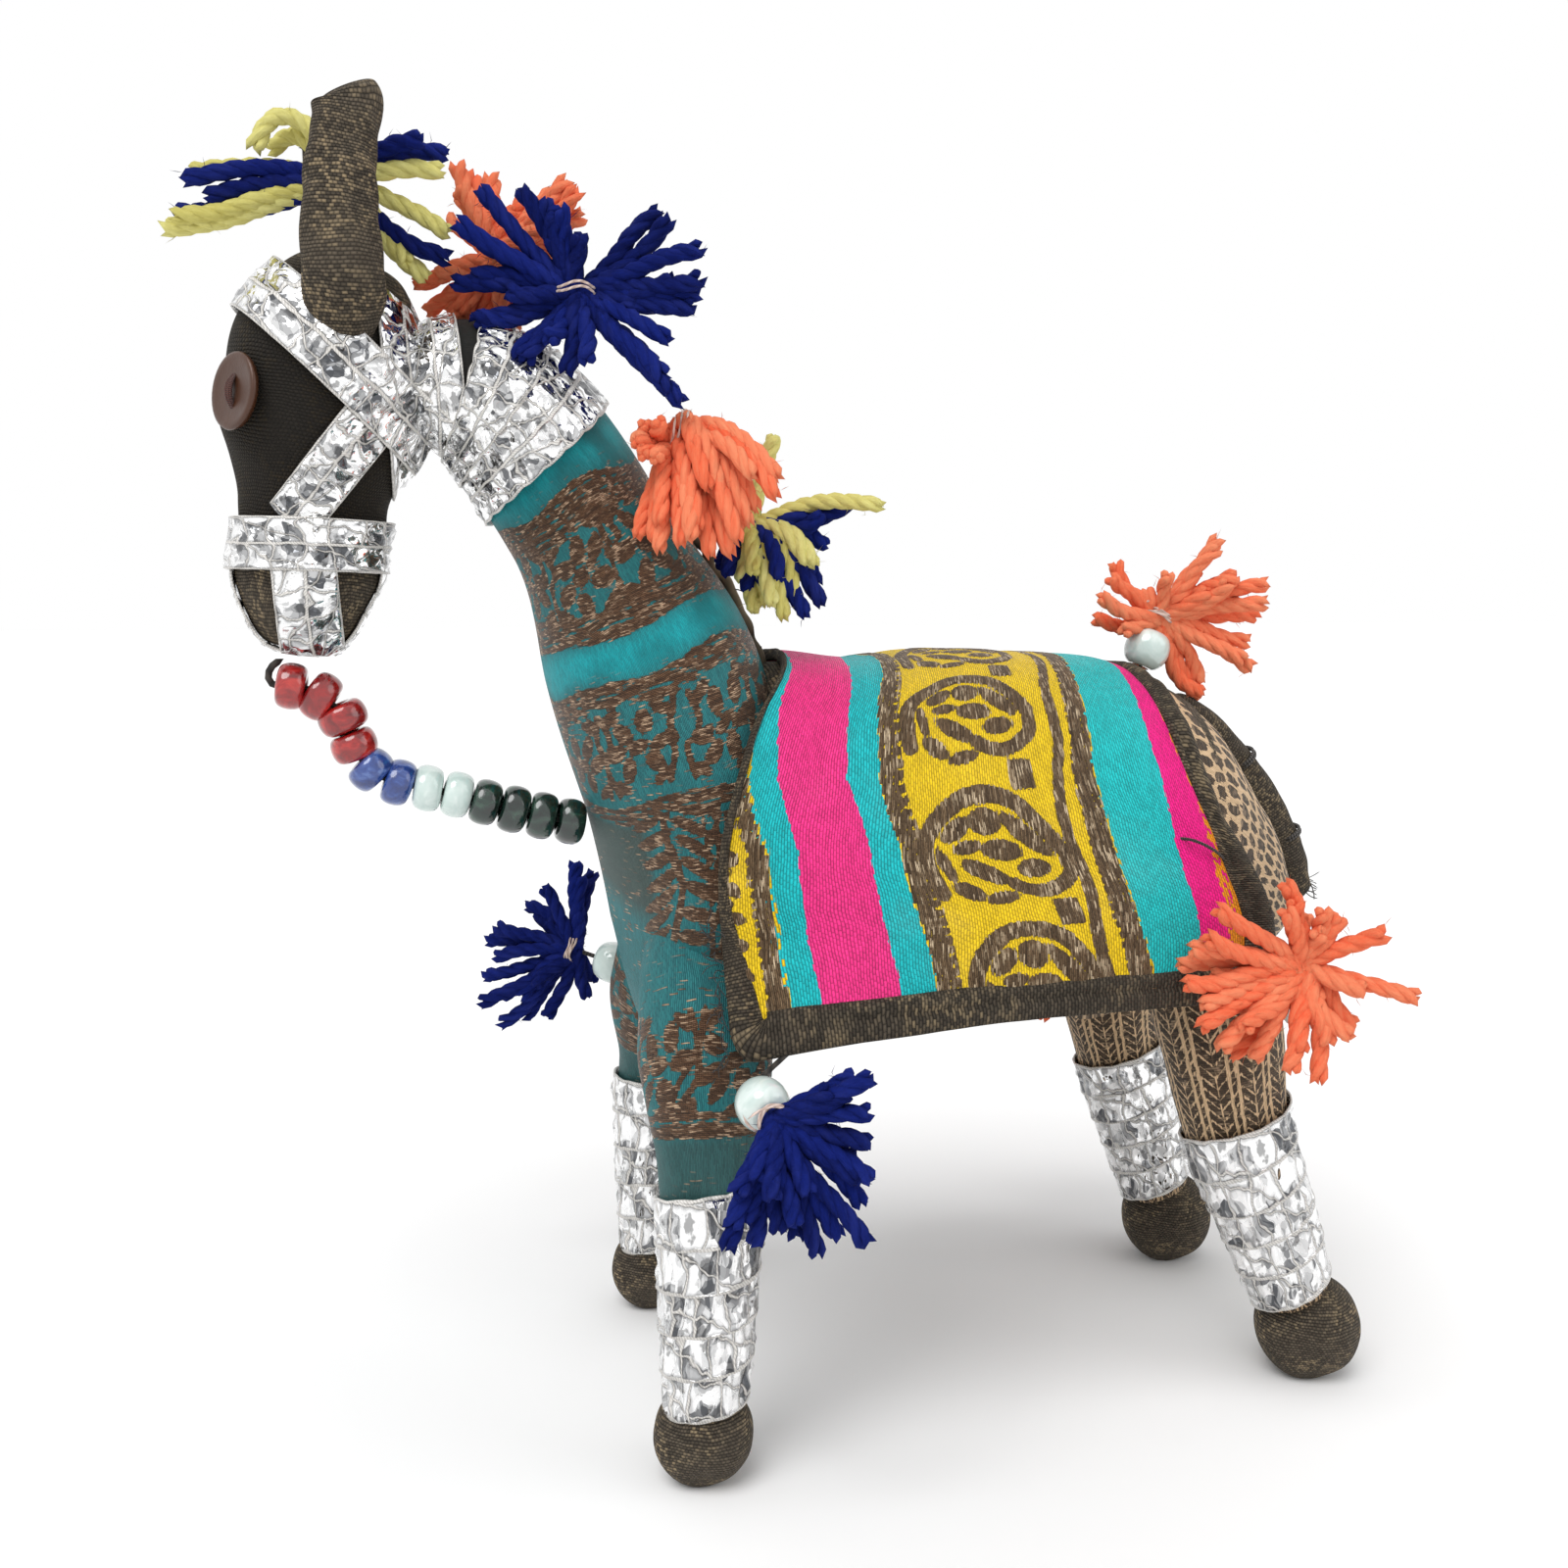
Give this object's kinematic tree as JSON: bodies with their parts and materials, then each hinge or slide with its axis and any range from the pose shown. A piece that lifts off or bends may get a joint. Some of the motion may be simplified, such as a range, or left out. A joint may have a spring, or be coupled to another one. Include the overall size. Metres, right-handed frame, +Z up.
{
  "type": "stuffed cloth horse",
  "caption": "Stuffed patchwork cloth horse, bound with silver tape and hung with wool tassels, glass beads and a beaded rein, under a striped saddle cloth. Stands on padded hooves.",
  "frame": {"origin": "middle of the whole object's bounding box, on the ground under the hooves", "axes": "+Z up, the horse looks along -X, and its left side is -Y"},
  "size_m": [0.2112, 0.1122, 0.2253],
  "materials": {
    "plain_cloth": "dark charcoal plain weave with a faint golden sheen",
    "teal_brocade": "teal satin with brown and copper thread brocade",
    "brown_brocade": "brown cloth with a cream woven net and lines",
    "saddle_brocade": "striped twill in yellow, brown, teal and magenta",
    "silver_tape": "crinkled silver foil tape netted with white thread",
    "copper_button": "brushed copper brown",
    "orange_yarn": "plied coral wool",
    "blue_yarn": "plied navy blue wool",
    "yellow_yarn": "plied pale yellow wool, with some blue strands",
    "white_glass": "opaque milky glass, glossy",
    "red_glass": "opaque red glass, glossy",
    "blue_glass": "opaque blue glass, glossy",
    "green_glass": "opaque very dark green glass, glossy",
    "thread": "dark sewing thread"
  },
  "bodies": {
    "horse": {"barrel": "plain_cloth", "rump": "brown_brocade", "neck": "teal_brocade", "head": "plain_cloth", "ear_left": "plain_cloth", "ear_right": "plain_cloth", "front_leg_left": "teal_brocade", "front_leg_right": "teal_brocade", "rear_leg_left": "brown_brocade", "rear_leg_right": "brown_brocade", "leg_wrap_front_left": "silver_tape", "leg_wrap_front_right": "silver_tape", "leg_wrap_rear_left": "silver_tape", "leg_wrap_rear_right": "silver_tape", "hoof_front_left": "plain_cloth", "hoof_front_right": "plain_cloth", "hoof_rear_left": "plain_cloth", "hoof_rear_right": "plain_cloth", "neck_wrap": "silver_tape", "brow_band": "silver_tape", "throat_band": "silver_tape", "noseband": "silver_tape", "cheek_strap_left": "silver_tape", "cheek_strap_right": "silver_tape", "muzzle_strap_side": "silver_tape", "muzzle_strap_front": "silver_tape", "muzzle_strap_back": "silver_tape", "eye_left": "copper_button", "eye_right": "copper_button", "tail": "plain_cloth", "saddle_cloth": "saddle_brocade", "saddle_binding": "plain_cloth", "mane_tassel_poll": "orange_yarn", "mane_tassel_crown": "blue_yarn", "mane_tassel_middle": "orange_yarn", "mane_tassel_withers": "yellow_yarn", "forelock": "yellow_yarn"},
    "front_left_drop": {"front_left_tassel": "blue_yarn"},
    "front_right_drop": {"front_right_tassel": "blue_yarn"},
    "rear_left_drop": {"rear_left_tassel": "orange_yarn"},
    "rear_right_drop": {"rear_right_tassel": "orange_yarn"},
    "rump_drop": {"rump_tassel": "orange_yarn"},
    "front_left_round": {"front_left_bead": "white_glass"},
    "front_right_round": {"front_right_bead": "white_glass"},
    "rear_left_round": {"rear_left_bead": "white_glass"},
    "rear_right_round": {"rear_right_bead": "white_glass"},
    "rump_round": {"rump_bead": "white_glass"},
    "rein": {"rein_string": "thread", "rein_bead_01": "red_glass", "rein_bead_02": "red_glass", "rein_bead_03": "red_glass", "rein_bead_04": "red_glass", "rein_bead_05": "blue_glass", "rein_bead_06": "blue_glass", "rein_bead_07": "white_glass", "rein_bead_08": "white_glass", "rein_bead_09": "green_glass", "rein_bead_10": "green_glass", "rein_bead_11": "green_glass", "rein_bead_12": "green_glass"}
  },
  "joints": [
    {"name": "front_left_swing", "type": "hinge", "parent": "horse", "child": "front_left_drop", "pos_m": [-0.01179, -0.03893, 0.07461], "axis": [0, 1, 0], "range_deg": [-30, 30]},
    {"name": "front_right_swing", "type": "hinge", "parent": "horse", "child": "front_right_drop", "pos_m": [-0.01762, 0.03912, 0.07463], "axis": [0, 1, 0], "range_deg": [-30, 30]},
    {"name": "rear_left_swing", "type": "hinge", "parent": "horse", "child": "rear_left_drop", "pos_m": [0.06651, -0.03818, 0.07902], "axis": [0, 1, 0], "range_deg": [-30, 30]},
    {"name": "rear_right_swing", "type": "hinge", "parent": "horse", "child": "rear_right_drop", "pos_m": [0.06479, 0.03836, 0.07913], "axis": [0, 1, 0], "range_deg": [-30, 30]},
    {"name": "rump_swing", "type": "hinge", "parent": "horse", "child": "rump_drop", "pos_m": [0.06535, 0.00049, 0.13035], "axis": [0, 1, 0], "range_deg": [-20, 0]},
    {"name": "front_left_bead_spin", "type": "hinge", "parent": "front_left_drop", "child": "front_left_round", "pos_m": [-0.01933, -0.04412, 0.0677], "axis": [0.0982, -0.9816, -0.1636], "continuous": true},
    {"name": "front_right_bead_spin", "type": "hinge", "parent": "front_right_drop", "child": "front_right_round", "pos_m": [-0.02854, 0.0441, 0.06971], "axis": [-0.8471, 0.4599, 0.2662], "continuous": true},
    {"name": "rear_left_bead_spin", "type": "hinge", "parent": "rear_left_drop", "child": "rear_left_round", "pos_m": [0.07707, -0.04314, 0.07603], "axis": [-0.1048, -0.9435, 0.3145], "continuous": true},
    {"name": "rear_right_bead_spin", "type": "hinge", "parent": "rear_right_drop", "child": "rear_right_round", "pos_m": [0.07327, 0.04412, 0.07323], "axis": [-0.2096, 0.8685, -0.4492], "continuous": true},
    {"name": "rump_bead_spin", "type": "hinge", "parent": "rump_drop", "child": "rump_round", "pos_m": [0.06825, 0.00049, 0.13435], "axis": [0.3905, 0, 0.9206], "continuous": true},
    {"name": "rein_swing", "type": "hinge", "parent": "horse", "child": "rein", "pos_m": [-0.04013, -0.00111, 0.1057], "axis": [-0.8579, 0.0105, 0.5137], "range_deg": [-35, 35]}
  ]
}
